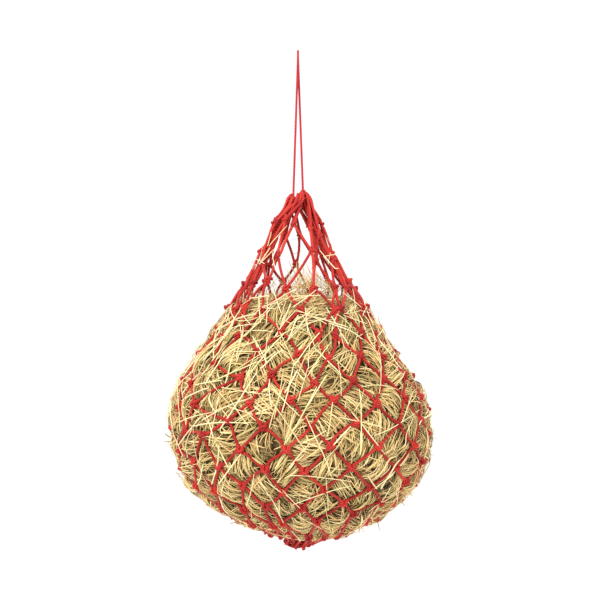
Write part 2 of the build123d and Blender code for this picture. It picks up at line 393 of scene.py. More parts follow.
def core_material():
    """Packed hay between the blades, streaky, in dark colours that are painted shade: they stand for the shadow between
    the blades and are darkest in the streaks' hollows.
    """
    material, tree, shader = new_material("hay_packed_painted_shade")
    tex = node(tree, "ShaderNodeTexCoord")
    turn = node(tree, "ShaderNodeTexNoise")
    turn.inputs["Scale"].default_value = 18.0
    turn.inputs["Detail"].default_value = 1.0
    tree.links.new(tex.outputs["Object"], turn.inputs["Vector"])
    layers = []
    for scale, stretch in ((1.0, (900.0, 900.0, 70.0)), (1.0, (90.0, 800.0, 800.0)), (1.0, (760.0, 80.0, 760.0))):
        mapping = node(tree, "ShaderNodeMapping")
        mapping.inputs["Scale"].default_value = stretch
        tree.links.new(tex.outputs["Object"], mapping.inputs["Vector"])
        streak = node(tree, "ShaderNodeTexNoise")
        streak.inputs["Scale"].default_value = scale
        streak.inputs["Detail"].default_value = 3.0
        streak.inputs["Distortion"].default_value = 0.6
        tree.links.new(mapping.outputs[0], streak.inputs["Vector"])
        layers.append(streak.outputs["Fac"])
    value = math_node(tree, "MAXIMUM", math_node(tree, "MAXIMUM", layers[0], layers[1]), layers[2])
    value = math_node(tree, "ADD", math_node(tree, "MULTIPLY", value, 0.9), math_node(tree, "MULTIPLY", turn.outputs["Fac"], 0.15))
    # painted shade: the ramp keeps the whole core dark, standing for the shadow between the blades
    colour = ramp(tree, [(0.46, (0.028, 0.015, 0.005)), (0.60, (0.105, 0.058, 0.016)), (0.80, (0.240, 0.146, 0.048))], value)
    tree.links.new(colour.outputs[0], shader.inputs["Base Color"])
    shader.inputs["Roughness"].default_value = 0.8
    bump = node(tree, "ShaderNodeBump")
    bump.inputs["Strength"].default_value = 0.9
    bump.inputs["Distance"].default_value = 0.002
    tree.links.new(value, bump.inputs["Height"])
    tree.links.new(bump.outputs[0], shader.inputs["Normal"])
    return material


hay_core_material = core_material()

# ------------------------------------------------------------------ drawcord: one thin cord doubled over the hook
# Route in metres: up the front leg, over the hook, down the back leg; the legs spread to left and right at the gather.
CORD_D = 0.0035
LEG_FOOT = {"left": (-0.0078, -0.0020, -0.2400), "right": (0.0082, 0.0010, -0.2300)}
KNEE = {"left": (0.0, -0.00425, -0.0080), "right": (0.0, 0.00425, -0.0080)}


def leg_at(side, z):
    a, b = np.array(KNEE[side]), np.array(LEG_FOOT[side])
    return tuple(a + (b - a) * ((z - a[2]) / (b[2] - a[2])))


bight_route = [leg_at("left", -0.026), KNEE["left"], (0.0, -0.00425, 0.00175), (0.0, 0.00425, 0.00175),
               KNEE["right"], leg_at("right", -0.026)]


def cord_piece(name, route, replaced):
    line = nurbs_line(route)
    path, along = resample(line, 0.0007)
    builder = Builder()
    builder.tube(path, CORD_D / 2, sides=14, lobes=2, lay=0.011, depth=0.0, braid=0.10, tint=0.5)
    piece = builder.make(name, cord_material)
    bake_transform(piece)
    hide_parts(*replaced)
    return piece


cord_piece("hanging_bight_cord", bight_route, ["drawcord_bight"])
for side in ("left", "right"):
    upper = [leg_at(side, -0.026), leg_at(side, -0.043), leg_at(side, -0.060)]
    cord_piece(f"hanging_cord_top_{side}", upper, [f"drawcord_upper_leg_{side}"])
    lower = [leg_at(side, z) for z in (-0.060, -0.110, -0.165)] + [LEG_FOOT[side]]
    cord_piece(f"hanging_cord_{side}", lower, [f"drawcord_leg_{side}"])

# ------------------------------------------------------------------ netting: where the knots are
N = 18
BAR = 50.0
TWINE_R = 2.5
PROFILE = np.array([
    (34.0, -236.5), (34.0, -246.1), (34.5, -255.7), (38.0, -274.9), (45.0, -294.1),
    (54.0, -313.3), (65.0, -332.5), (76.0, -351.7), (88.0, -370.9), (101.0, -390.1),
    (113.0, -409.3), (125.0, -428.5), (138.0, -447.7), (152.0, -466.9), (166.0, -486.1),
    (179.0, -505.3), (191.0, -524.5), (200.0, -543.7), (206.5, -562.9), (210.5, -582.1),
    (211.5, -601.3), (209.5, -620.5), (205.0, -639.7), (198.0, -658.9), (187.5, -678.1),
    (173.5, -697.3), (155.0, -716.5), (135.0, -732.5), (113.0, -745.3), (90.0, -756.5),
    (66.0, -766.1), (47.0, -774.1), (36.0, -781.3),
])
ARC = np.concatenate([[0], np.cumsum(np.linalg.norm(np.diff(PROFILE, axis=0), axis=1))])


def profile_at(s):
    return np.interp(s, ARC, PROFILE[:, 0]), np.interp(s, ARC, PROFILE[:, 1])


def level_positions():
    found = [0.0]
    while found[-1] < ARC[-1] - 2.0:
        low, high = found[-1], found[-1] + 1.3 * BAR
        r0, z0 = profile_at(found[-1])
        for _ in range(50):
            mid = (low + high) / 2
            r1, z1 = profile_at(mid)
            d = math.sqrt(r0 * r0 + r1 * r1 - 2 * r0 * r1 * math.cos(math.pi / N) + (z1 - z0) ** 2)
            low, high = (mid, high) if d < BAR else (low, mid)
        found.append(min(high, ARC[-1]))
    return found


LEVEL_S = level_positions()
LAST = len(LEVEL_S) - 1            # 16


SHIFT = ([560, 600, 625, 650, 716, 740, 755, 764, 772, 778, 786, 800], [0, 1.0, 4.5, 6.5, 9.0, 12.0, 15.0, 17.0, 15.0, 9.0, 1.0, 0])
NARROW = ([385, 435, 477, 525, 600, 700, 736, 755, 768, 776, 784, 800],
          [1, 0.955, 0.975, 0.985, 0.985, 0.985, 0.95, 0.905, 0.83, 0.82, 0.95, 1])


def metres(points):
    """Millimetres to metres; the filled belly hangs a little to the right of the hook's line and its base is drawn in."""
    p = np.array(points, float)
    p[..., 0] = p[..., 0] * np.interp(-p[..., 2], *NARROW) + np.interp(-p[..., 2], *SHIFT)
    return p * MM


CENTRE = np.array([0.0, 0.0, -585.0])


class Skin:
    """A closed, lumpy surface round CENTRE, from a profile of (radius, z) running from top to bottom."""

    def __init__(self, outline, soften, rough):
        outline = np.array(outline)
        angle = np.arctan2(outline[:, 0], outline[:, 1] - CENTRE[2])
        reach = np.hypot(outline[:, 0], outline[:, 1] - CENTRE[2])
        self.angle = np.linspace(0, math.pi, 721)
        kernel = np.exp(-0.5 * (np.arange(-16, 17) / soften) ** 2)
        self.reach = np.convolve(np.pad(np.interp(self.angle, angle, reach), 16, mode="reflect"), kernel / kernel.sum(), "valid")
        self.slope = np.gradient(self.reach, self.angle)
        self.rough = rough

    def __call__(self, points):
        d = unit(np.asarray(points, float) - CENTRE)
        x, y, z = d[..., 0], d[..., 1], d[..., 2]
        angle = np.arccos(np.clip(z, -1, 1))
        lumps = (2.6 * np.sin(3.1 * x + 1.3) * np.cos(2.7 * y - 0.4) + 2.0 * np.sin(5.3 * z + 2.2 * x)
                 + 1.6 * np.cos(6.1 * x - 4.2 * y + 1.9) + 1.2 * np.sin(9.0 * z + 5.0 * y + 0.6))
        if self.rough:
            top = np.clip((z - 0.75) / 0.2, 0, 1)
            lumps = lumps + self.rough * top * (np.sin(7 * x + 1.0) * np.cos(6 * y + 0.5) + 0.6 * np.sin(14 * x + 9 * y))
        reach = np.interp(angle, self.angle, self.reach) + lumps
        slope = np.interp(angle, self.angle, self.slope)
        flat = np.stack([x, y, np.zeros_like(angle)], -1)
        flat = unit(np.where(np.linalg.norm(flat, axis=-1, keepdims=True) < 1e-6, np.array([1.0, 0, 0]), flat))
        down = flat * np.cos(angle)[..., None] - np.array([0, 0, 1.0]) * np.sin(angle)[..., None]
        return CENTRE + d * reach[..., None], unit(d * reach[..., None] - down * slope[..., None])


BELLY = [tuple(p) for p in PROFILE[11:31]]
net_skin = Skin([(0.0, -352.0), (50.0, -356.0), (88.0, -370.9), (101.0, -390.1), (113.0, -409.3)] + BELLY + [(36.0, -771.5), (0.0, -773.0)], 4.0, 0.0)
hay_skin = Skin([(0.0, -397.0), (34.0, -397.5), (64.0, -398.5), (88.0, -402.0), (104.0, -410.0), (114.0, -420.0)] + BELLY
                + [(36.0, -770.5), (0.0, -772.0)], 5.0, 4.5)


def ring_angle(level, k):
    return math.radians(90 + 20 * (k + 0.5 * ((level + 1) % 2)))


# knots of the body, level 3 down to the last but one
knots = np.zeros((LAST + 1, N, 3))
for level in range(3, LAST + 1):
    r, z = profile_at(LEVEL_S[level])
    tilt = 0.08 * min(1.0, max(0.0, (level - 3) / 3.0)) * min(1.0, max(0.0, (LAST - 1 - level) / 3.0))
    for k in range(N):
        a = ring_angle(level, k) + math.radians(5.6 - 0.030 * (-z - 590.0)) + rng.normal(0, 0.015)
        if level == 3:
            a -= 0.5 * 0.38 * math.sin(2 * a)
        drop = rng.uniform(-9, 9) if level == 3 else rng.normal(0, 1.8)
        if level == 3:
            r = np.interp(-(z + drop), -PROFILE[:, 1], PROFILE[:, 0]) - rng.uniform(3, 8)
        knots[level, k] = (r * math.cos(a), r * math.sin(a), z + drop + tilt * r * math.cos(a))

# where the clearest knots stand in front, in millimetres, seen level from the front onto the plane of the hook
SEEN = [
    (-11, -556), (58, -556), (21, -600), (93, -593), (-19, -636), (53, -630), (10, -670), (85, -664),
    (26, -531), (89, -526), (-156, -480), (-162, -507), (-133, -499), (-135, -529), (-92, -520), (-169, -529),
    (-126, -556), (-165, -562), (-158, -587), (-77, -562), (-111, -589), (-24, -704), (-51, -726), (6, -729),
    (42, -700), (72, -721), (-25, -752), (30, -750), (88, -737),
]


def seen(p):
    x, y, z = metres(p) * 1000
    k = 2400.0 / (2400.0 + y)
    return np.array([3.2 + (x - 3.2) * k, -396.5 + (z + 396.5) * k])


pinned = np.zeros((LAST + 1, N), bool)
offers = []
for i, at in enumerate(SEEN):
    for level in range(4, LAST):
        for k in range(N):
            if knots[level, k, 1] < 0:
                offers.append((float(np.hypot(*(seen(net_skin(knots[level, k])[0]) - at))), i, level, k))
used = set()
for miss, i, level, k in sorted(offers):
    if miss > 26 or i in used or pinned[level, k]:
        continue
    p = net_skin(knots[level, k])[0]
    for _ in range(25):
        error = np.array(SEEN[i]) - seen(p)
        p = net_skin(p + np.array([error[0] * 0.8, 0, error[1] * 0.8]))[0]
    if np.hypot(*(np.array(SEEN[i]) - seen(p))) < 4 and p[1] < 0:
        used.add(i)
        knots[level, k] = p
        pinned[level, k] = True

# bars of each round: each knot of the level above hangs on two knots of the level below
bars = {}
for number in range(1, LAST + 1):
    shift = 0 if number % 2 else -1
    bars[number] = [(k, (k + shift + j) % N) for k in range(N) for j in (0, 1)]
wanted = {n: BAR * (1 + rng.uniform(-0.04, 0.05, 2 * N)) for n in bars}
for _ in range(60):
    for number in range(4, LAST):
        for (a, b), want in zip(bars[number], wanted[number]):
            pa, pb = knots[number - 1, a], knots[number, b]
            gap = pb - pa
            length = np.linalg.norm(gap)
            move = gap * (0.22 * (length - want) / length)
            if number - 1 > 3 and not pinned[number - 1, a]:
                pa += move
            if number < LAST - 1 and not pinned[number, b]:
                pb -= move
    for level in range(4, LAST):
        on = net_skin(knots[level])[0]
        knots[level][~pinned[level]] = on[~pinned[level]]

# neck: pleated, with most strands at the left and right and an open mesh in front
for level, bunch, pleat, squeeze, turn, drop in ((2, 0.88, 0.30, 0.80, 2.0, 13.0), (1, 0.97, 0.50, 0.80, 8.0, 16.0)):
    r0, z0 = profile_at(LEVEL_S[level])
    for k in range(N):
        a = ring_angle(level, k) + math.radians(5.6 - 0.024 * (-z0 - 590.0))
        off = (math.degrees(a) - 270 + 180) % 360 - 180
        a -= 0.5 * bunch * math.sin(2 * a)
        if abs(off) < 28:                                     # in front the strands are parted
            a += math.radians((7.0 if off > 0 else -11.0) * (1 - abs(off) / 28))
        a += math.radians(turn) + rng.normal(0, 0.09)
        r = r0 * (1.0 - pleat * (0.25 + 0.75 * rng.random()) * (0.2 if k % 2 == 0 else 1.0)) * (1.02 if k % 2 == 0 else 1.0)
        knots[level, k] = (r * 0.96 * math.cos(a) - 1.5, r * squeeze * math.sin(a), z0 + rng.uniform(-1, 1) * drop + (3 if level == 1 else 0))


def circuit_point(phi):
    """The drawcord's circuit inside the gather: drawn up small and tipped up to the right."""
    return np.array([0.5 + 12.5 * np.cos(phi), 9.5 * np.sin(phi), -236.5 + 4.5 * np.cos(phi) + 1.2 * np.sin(3 * phi)])


# the neck's strands
neck_bars = []
for number in (3, 2):
    for a, b in bars[number]:
        pa, pb = knots[number - 1, a], knots[number, b]
        t = np.linspace(0, 1, 13)[:, None]
        out = unit(np.array([pa[0] + pb[0], pa[1] + pb[1], 0.0]))
        across = np.cross(out, unit(pb - pa))
        line = pa + (pb - pa) * t + (out * rng.normal(0, 2.2) + across * rng.normal(0, 3.2)) * (4 * t * (1 - t))
        neck_bars.append((number, line))
mouth_loops = []
for k in range(N):
    a = ring_angle(0, k)
    phi = a + math.radians(62) + rng.normal(0, 0.06)
    top = circuit_point(phi)
    radial = np.array([math.cos(phi), math.sin(phi), 0.0])
    along = np.array([-math.sin(phi), math.cos(phi), 0.0])
    lower = [b for u, b in bars[1] if u == k]
    kl, kr = knots[1, lower[0]], knots[1, lower[1]]
    rise = rng.uniform(1.0, 5.0)
    half = rng.uniform(1.6, 2.6)
    over = top + np.array([0, 0, 3.6 + rise])
    outer = top + radial * (3.2 + 2.3 * (k % 3)) - along * half + np.array([0, 0, -3.0])
    inner = top - radial * rng.uniform(2.8, 4.0) + along * half + np.array([0, 0, -4.0])
    if (k + 1) % 2:
        outer, inner = outer - along * 1.0, inner + along * 1.0
    low_out = outer * 0.62 + kl * 0.38 + radial * 2.0
    low_in = inner * 0.62 + kr * 0.38
    mouth_loops.append([math.degrees(phi) % 360, kl, kr, [low_out, outer, over, inner, low_in]])
# three loops are not drawn up tight and stand open above the cord
OPEN_LOOPS = (
    (322.0, [(0.5, -5.0, -248.0), (0.6, -4.5, -237.0), (3.0, -2.2, -227.5), (8.2, 0.4, -221.0), (12.8, -1.2, -226.8), (15.2, -2.6, -235.0), (16.0, -3.0, -246.0)]),
    (205.0, [(-21.0, -5.0, -252.0), (-18.6, -4.4, -242.0), (-16.8, -3.6, -235.0), (-13.4, -3.0, -231.0), (-10.2, -2.8, -235.0), (-10.4, -3.0, -243.0), (-13.0, -4.0, -252.0)]),
    (160.0, [(-20.0, 3.0, -250.0), (-16.6, 2.4, -239.0), (-14.0, 2.0, -232.0), (-10.6, 1.6, -227.6), (-7.4, 1.6, -231.0), (-7.8, 1.6, -239.0), (-12.0, 3.0, -250.0)]),
)
for at, middle in OPEN_LOOPS:
    best = min((m for m in mouth_loops if len(m) == 4), key=lambda m: abs((m[0] - at + 180) % 360 - 180))
    middle = [np.array(p) for p in middle]
    ends = sorted((best[1], best[2]), key=lambda q: q[0])
    best[1], best[2], best[3] = ends[0], ends[1], middle
    best.append(True)
for loop in mouth_loops:
    kl, kr, middle = loop[1:4]
    path = [kl, kl * 0.55 + middle[0] * 0.45, *middle, kr * 0.55 + middle[-1] * 0.45, kr]
    neck_bars.append((1, smooth_curve(path, 5)))

# relax the neck: strands keep their length and lie beside each other
index, points, held, links = [], [], [], []
knot_id = {}
for number, line in neck_bars:
    ids = []
    for i, p in enumerate(line):
        end = i in (0, len(line) - 1)
        key = tuple(np.round(p, 4))
        if end and key in knot_id:
            ids.append(knot_id[key])
            continue
        points.append(np.array(p, float))
        fixed = (number == 1 and abs(i - (len(line) - 1) / 2) < len(line) * 0.17) or (end and np.abs(knots[3] - p).sum(1).min() < 1e-3)
        held.append(bool(fixed))
        ids.append(len(points) - 1)
        if end:
            knot_id[key] = ids[-1]
    index.append(ids)
    links += list(zip(ids, ids[1:]))
X = np.array(points)
held = np.array(held)
links = np.array(links)
rest = np.linalg.norm(X[links[:, 0]] - X[links[:, 1]], axis=1)
owner = np.full(len(X), -1)
for i, ids in enumerate(index):
    owner[ids[1:-1]] = i
free = np.where(held, 0.0, 1.0)
attached = np.zeros((len(X), len(index)), bool)
for i, ids in enumerate(index):
    attached[ids[0], i] = attached[ids[-1], i] = True
ii = jj = np.array([], int)
for step in range(72):
    if step % 3 == 0:
        pairs_i, pairs_j = [], []
        for start in range(0, len(X), 400):
            block = X[start:start + 400]
            near = ((block[:, None, :] - X[None, :, :]) ** 2).sum(-1) < 8.0 ** 2
            pi, pj = np.nonzero(near)
            pairs_i.append(pi + start)
            pairs_j.append(pj)
        ii, jj = np.concatenate(pairs_i), np.concatenate(pairs_j)
        good = (ii < jj) & ((owner[ii] != owner[jj]) | (owner[ii] < 0))
        good &= ~((owner[ii] < 0) & (owner[jj] >= 0) & attached[ii, owner[jj]])
        good &= ~((owner[jj] < 0) & (owner[ii] >= 0) & attached[jj, owner[ii]])
        ii, jj = ii[good], jj[good]
        apart = np.array([4.8, 5.6, 8.0])[(owner[ii] < 0).astype(int) + (owner[jj] < 0).astype(int)]
    gap = X[ii] - X[jj]
    length = np.linalg.norm(gap, axis=1) + 1e-9
    push = gap / length[:, None] * (np.clip(apart - length, 0, None) * 0.25)[:, None]
    np.add.at(X, ii, push * free[ii][:, None])
    np.add.at(X, jj, -push * free[jj][:, None])
    a, b = links[:, 0], links[:, 1]
    gap = X[b] - X[a]
    length = np.linalg.norm(gap, axis=1) + 1e-9
    move = gap * ((length - rest) / length / (free[a] + free[b] + 1e-9) * 0.8)[:, None]
    total, count = np.zeros_like(X), np.zeros(len(X))
    np.add.at(total, a, move * free[a][:, None])
    np.add.at(total, b, -move * free[b][:, None])
    np.add.at(count, a, 1)
    np.add.at(count, b, 1)
    X += total / np.maximum(count, 1)[:, None] * 1.4
    for ids in index:
        q = X[ids]
        X[ids[1:-1]] += 0.22 * (0.5 * (q[:-2] + q[2:]) - q[1:-1]) * free[ids[1:-1]][:, None]
neck_lines = [(number, X[ids]) for (number, _), ids in zip(neck_bars, index)]
for level in (1, 2):
    for k in range(N):
        knots[level, k] = X[knot_id[tuple(np.round(knots[level, k], 4))]]

# body strands lie on the hay; the first round below the neck is still free of it
body_lines = {n: [] for n in bars}
for number in range(4, LAST):
    for a, b in bars[number]:
        pa, pb = knots[number - 1, a], knots[number, b]
        t = np.linspace(0, 1, 15)[:, None]
        n = unit(net_skin(pa)[1] + net_skin(pb)[1])
        across = np.cross(n, unit(pb - pa))
        bow = rng.normal(0, 2.3) * (4 * t * (1 - t)) + rng.normal(0, 0.9) * np.sin(2 * math.pi * t)
        line = pa + (pb - pa) * t + across * bow
        cling = (0.85 if number > 5 else 0.4) * np.sin(math.pi * t)
        body_lines[number].append(line * (1 - cling) + net_skin(line)[0] * cling)

# base: each lowest mesh loops round the gather cord
base_lines = []
for k in range(N):
    a = ring_angle(LAST, k)
    upper = [u for u, b in bars[LAST] if b == k]
    pa, pb = knots[LAST - 1, upper[0]], knots[LAST - 1, upper[1]]
    radial = np.array([math.cos(a), math.sin(a), 0.0])
    c = radial * 27.0 * np.array([1.0, 0.75, 0]) + np.array([-2.0, 0, -780.0 - 2.5 * math.cos(a + 0.6)])
    along = np.array([-math.sin(a), math.cos(a), 0.0])
    slide = along * rng.normal(0, 4.5)
    sink = rng.uniform(1.0, 3.0) + 6.5 * math.exp(-((c[0] + 3.0) / 15.0) ** 2) * rng.uniform(0.6, 1.0)
    path = [pa, pa * 0.35 + (c + radial * 9 + [0, 0, 3.5]) * 0.65, c + radial * 5.0 + slide * 0.5 + [0, 0, 0.5], c + slide - radial * 1.0 + [0, 0, -3.0 - sink],
            c - radial * 8.0 + slide * 1.6 + [0, 0, -2.0 - 0.5 * sink], c - radial * 4.0 + slide + [0, 0, 3.4], c + radial * 4.0 + [0, 0, 4.6],
            pb * 0.35 + (c + radial * 11 + [0, 0, 5.0]) * 0.65, pb]
    base_lines.append(smooth_curve(path, 6))

# ------------------------------------------------------------------ netting: twine
ROUND_NAMES = [
    "mouth_mesh_round", "neck_mesh_round_1", "neck_mesh_round_2",
    "shoulder_mesh_round_1", "shoulder_mesh_round_2", "shoulder_mesh_round_3", "shoulder_mesh_round_4",
    "shoulder_mesh_round_5", "belly_mesh_round_1", "belly_mesh_round_2", "belly_mesh_round_3", "belly_mesh_round_4",
    "base_mesh_round_1", "base_mesh_round_2", "base_mesh_round_3", "base_mesh_round_4",
]
SEAM_Z = -0.3710
ANCHOR_Z = -0.2325
KEEP = 1 - 0.08 / (ANCHOR_Z - SEAM_Z)


def settle(piece, body, replaced, in_neck=False):
    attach(piece, body)
    if in_neck:
        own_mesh(piece)
    if replaced:
        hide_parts(*replaced)


twine_points = []
for number in range(1, LAST + 1):
    builder = Builder()
    if number <= 3:
        lines = [smooth_curve(line[::2], 6) for n, line in neck_lines if n == number]
    elif number == LAST:
        lines = base_lines
    else:
        lines = body_lines[number]
    for line in lines:
        curve, _ = resample(line, 2.1)
        if number > 3:
            twine_points.append(curve)
        # below the neck each strand gets a random tint; the neck's strands get a higher one, painted light that colours
        # the neck's twine lighter as if more light fell on it
        builder.tube(metres(curve), TWINE_R * MM * rng.uniform(0.93, 1.03), sides=10, lobes=3,
                     lay=0.0125, depth=0.13, phase=rng.uniform(0, 6.28), tint=rng.random() if number > 3 else rng.uniform(0.6, 1.25))
    name = ROUND_NAMES[number - 1]
    settle(builder.make("twine_" + name, twine_material), "mouth_gather" if number <= 3 else "net_body", [name], number <= 3)

# ------------------------------------------------------------------ netting: the knots, each a bight with a second strand tied round it
neighbours = {}
for number in range(1, LAST + 1):
    for a, b in bars[number]:
        neighbours.setdefault((number - 1, a), []).append((number, b))
        neighbours.setdefault((number, b), []).append((number - 1, a))


def knot_lines(level, k, size):
    centre = knots[level, k]
    if level < 3:
        normal = unit(np.array([centre[0], centre[1], 10.0]))
    elif level == 3:
        normal = unit(unit(np.array([centre[0], centre[1], 0.0])) + [0, 0, 0.8])
    else:
        normal = net_skin(centre)[1]
    above = [knots[l, j] for l, j in neighbours[(level, k)] if l < level and l > 0]
    below = [knots[l, j] for l, j in neighbours[(level, k)] if l > level and l < LAST]
    if level == 1:
        above = [centre + [-1.5, 0, 30.0], centre + [1.5, 0, 30.0]]
        above = [p * np.array([0.8, 0.8, 1.0]) for p in above]
    if level == LAST - 1:
        below = [centre * np.array([0.35, 0.35, 1.0]) + [0, 0, -14.0] + s * np.cross(normal, unit(centre * [1, 1, 0])) * 14.0 for s in (-1, 1)]
    up = unit(np.mean(above, 0) - np.mean(below, 0))
    up = unit(up - normal * (normal @ up))
    across = np.cross(up, normal)
    flip = 1.0 if rng.random() < 0.7 else -1.0

    def local(p):
        v = unit(p - centre)
        return np.array([v @ across, v @ up, v @ normal])

    above = sorted((local(p) for p in above), key=lambda v: v[0] * flip)
    below = sorted((local(p) for p in below), key=lambda v: v[0] * flip)
    f = np.array([flip, 1.0, 1.0])
    j = lambda *v: np.array(v) * f * size + rng.normal(0, 0.15, 3)
    reach = 8.5
    bight = [above[0] * reach, j(-2.8, 3.6, 0.8), j(-2.6, -0.4, 2.5), j(-1.5, -3.9, 2.0), j(1.5, -3.9, 2.0), j(2.6, -0.4, 2.5),
             j(2.8, 3.6, 0.8), above[1] * reach]
    wrap = [below[0] * reach, j(-4.3, -2.9, 0.2), j(-4.9, 0.9, 0.2), j(-2.9, 3.3, -2.5), j(2.9, 3.3, -2.5), j(5.0, 1.6, 0.9),
            j(2.2, 0.2, 5.0), j(-2.0, -1.7, 4.9), j(-3.0, -4.2, 1.4), j(0.0, -4.4, -1.6), j(3.4, -4.1, -0.8), below[1] * reach]
    frame_ = np.stack([across, up, normal])
    return [centre + smooth_curve(path, 6) @ frame_ + normal * 0.3 for path in (bight, wrap)]


knot_groups = {"neck_knots": range(1, 3), "shoulder_knots": range(3, 8), "belly_knots": range(8, 12), "base_knots": range(12, LAST)}
for group_name, group_levels in knot_groups.items():
    builder = Builder()
    for level in group_levels:
        for k in range(N):
            size = 0.72 if level < 3 else rng.uniform(0.95, 1.12)
            tint = rng.random()
            for line in knot_lines(level, k, size):
                curve, _ = resample(line, 1.5)
                builder.tube(metres(curve), TWINE_R * 0.94 * MM * (0.86 if level < 3 else 1.0), sides=8, lobes=3, lay=0.012, depth=0.11,
                             phase=rng.uniform(0, 6.28), tint=tint)
    settle(builder.make("tied_" + group_name, twine_material), "mouth_gather" if group_name == "neck_knots" else "net_body",
           [group_name], group_name == "neck_knots")

# ------------------------------------------------------------------ drawcord in the gather, its end knot, and the base gather
BRAID = dict(sides=12, lobes=2, lay=0.011, depth=0.0, braid=0.10)
builder = Builder()
phi = np.linspace(0, 2 * math.pi, 220, endpoint=False)
ring = np.stack([circuit_point(p) for p in phi])
builder.tube(ring * MM, CORD_D / 2, closed=True, tint=0.4, **BRAID)
for phi_end, foot in ((2.0, (-3.5, 0.0, -237.0)), (5.0, (4.0, 0.5, -234.0))):
    run = smooth_curve([circuit_point(phi_end), circuit_point(phi_end) * 0.5 + np.array(foot) * 0.5 + [0, 0, 1.5], foot], 12)
    builder.tube(resample(run, 1.0)[0] * MM, CORD_D / 2, tint=0.4, **BRAID)
settle(builder.make("drawcord_circuit", cord_material), "mouth_gather", ["drawcord_mouth_ring"])

builder = Builder()
t = np.linspace(0, 2 * math.pi, 120, endpoint=False)
trefoil = np.stack([(2.6 + 1.5 * np.cos(3 * t)) * np.cos(2 * t) * 1.15, (2.6 + 1.5 * np.cos(3 * t)) * np.sin(2 * t),
                    2.0 * np.sin(3 * t)], 1)
builder.tube((trefoil + [0.3, 0.0, -236.5]) * MM, CORD_D / 2, closed=True, tint=0.6, **BRAID)
for tail in ([(1.5, -1.0, -238.0), (3.0, -2.0, -243.0), (4.0, -2.6, -250.0)], [(-1.5, 1.0, -238.0), (-3.2, 2.0, -244.0), (-3.4, 3.4, -249.0)]):
    builder.tube(resample(smooth_curve(tail, 8), 0.8)[0] * MM, CORD_D / 2, tint=0.6, **BRAID)
settle(builder.make("drawcord_knotted_ends", cord_material), "mouth_gather", ["drawcord_end_knot"])

builder = Builder()
ring = np.stack([-2.0 + 27.0 * np.cos(phi), 20.0 * np.sin(phi), -780.0 - 2.5 * np.cos(phi + 0.6)], 1)
builder.tube(metres(ring), 1.75 * MM, sides=12, lobes=3, lay=0.010, depth=0.1, closed=True, tint=0.3)
settle(builder.make("base_draw_cord", twine_material), "net_body", ["base_gather_cord"])

builder = Builder()
builder.tube(metres((trefoil * 1.25)[:, [0, 2, 1]] + [-3.0, 0.0, -786.0]), 2.0 * MM, sides=10, lobes=3, lay=0.011, depth=0.12, closed=True, tint=0.3)
for path in ([(-29, 2, -779), (-19, 1, -785), (-9, -2, -789.5), (2, -3, -790.5), (13, -3, -788), (25, -4, -781)],
             [(-28, -4, -780), (-17, -7, -787), (-6, -8, -790.5), (6, -7, -789.5), (17, -6, -785), (26, -5, -779)],
             [(-27, 6, -779), (-14, 6, -784), (-3, 3, -787), (8, 4, -787), (19, 4, -783), (26, 3, -778)],
             [(-24, -9, -779), (-12, -12, -784), (0, -12, -787.5), (12, -11, -785.5), (22, -8, -780)]):
    builder.tube(metres(resample(smooth_curve(path, 10), 1.2)[0]), 2.2 * MM, sides=10, lobes=3, lay=0.011, depth=0.12, tint=0.2 * rng.random())
settle(builder.make("base_tie_knot", twine_material), "net_body", ["base_knot"])

# ------------------------------------------------------------------ hay
cloud = np.concatenate(twine_points)
tree = kdtree.KDTree(len(cloud))
for i, p in enumerate(cloud):
    tree.insert(p, i)
tree.balance()


def twine_distance(points):
    flat = np.asarray(points, float).reshape(-1, 3)
    return np.array([tree.find(p)[2] for p in flat]).reshape(np.asarray(points).shape[:-1])


# every mesh holds its own cushion of hay, lying its own way
cells = np.array([(knots[l, k] + knots[l + 2, (k + (0 if l % 2 else 0)) % N]) / 2 for l in range(3, LAST - 2) for k in range(N)])
cells = net_skin(cells)[0]
cell_tree = kdtree.KDTree(len(cells))
for i, p in enumerate(cells):
    cell_tree.insert(p, i)
cell_tree.balance()
cell_lean = rng.uniform(0, math.pi, len(cells))
cell_spread = rng.uniform(0.10, 0.42, len(cells))
cell_swell = rng.uniform(0.75, 1.25, len(cells))
cell_tint = rng.normal(0, 0.07, len(cells))
cell_fan = rng.normal(0, 0.010, len(cells))


def cell_of(points):
    return np.array([cell_tree.find(p)[1] for p in points])


def pillow(distance, swell=1.0):
    """How far the hay stands out between the twines, in millimetres from the net's skin."""
    t = np.clip(distance / 20.0, 0, 1)
    return -5.0 + 11.5 * swell * (1 - (1 - t) ** 2)


rows, columns = 150, 216
angle = np.linspace(0.02, math.pi - 0.02, rows)
turn = np.linspace(0, 2 * math.pi, columns, endpoint=False)
A, T = np.meshgrid(angle, turn, indexing="ij")
surface, normal = hay_skin(CENTRE + np.stack([np.sin(A) * np.cos(T), np.sin(A) * np.sin(T), np.cos(A)], -1) * 100)
reach = np.minimum(pillow(twine_distance(surface)), 6.0) - 10.5
rough = np.array([noise.noise(Vector(p) * 0.055) * 2.6 + noise.noise(Vector(p) * 0.17) * 1.8 for p in surface.reshape(-1, 3)])
reach = reach + rough.reshape(rows, columns)
verts = (surface + normal * reach[..., None]).reshape(-1, 3)
poles = np.array([surface[0].mean(0) - [0, 0, 8.0], surface[-1].mean(0) + [0, 0, 8.0]])
i = np.arange(rows - 1)[:, None]
j = np.arange(columns)[None, :]
jn = (j + 1) % columns
quads = np.stack(np.broadcast_arrays(i * columns + j, (i + 1) * columns + j, (i + 1) * columns + jn, i * columns + jn), -1).reshape(-1, 4)
jj = np.arange(columns)
nx = (jj + 1) % columns
top, bottom = len(verts), len(verts) + 1
tris = np.concatenate([np.stack([jj, nx, np.full(columns, top)], 1),
                       np.stack([(rows - 1) * columns + nx, (rows - 1) * columns + jj, np.full(columns, bottom)], 1)])
# the core sheet is coloured as painted shade under the blades
core = add_mesh("hay_core_painted_shade", metres(np.concatenate([verts, poles])), [quads, tris], hay_core_material)
settle(core, "net_body", ["hay_fill"])


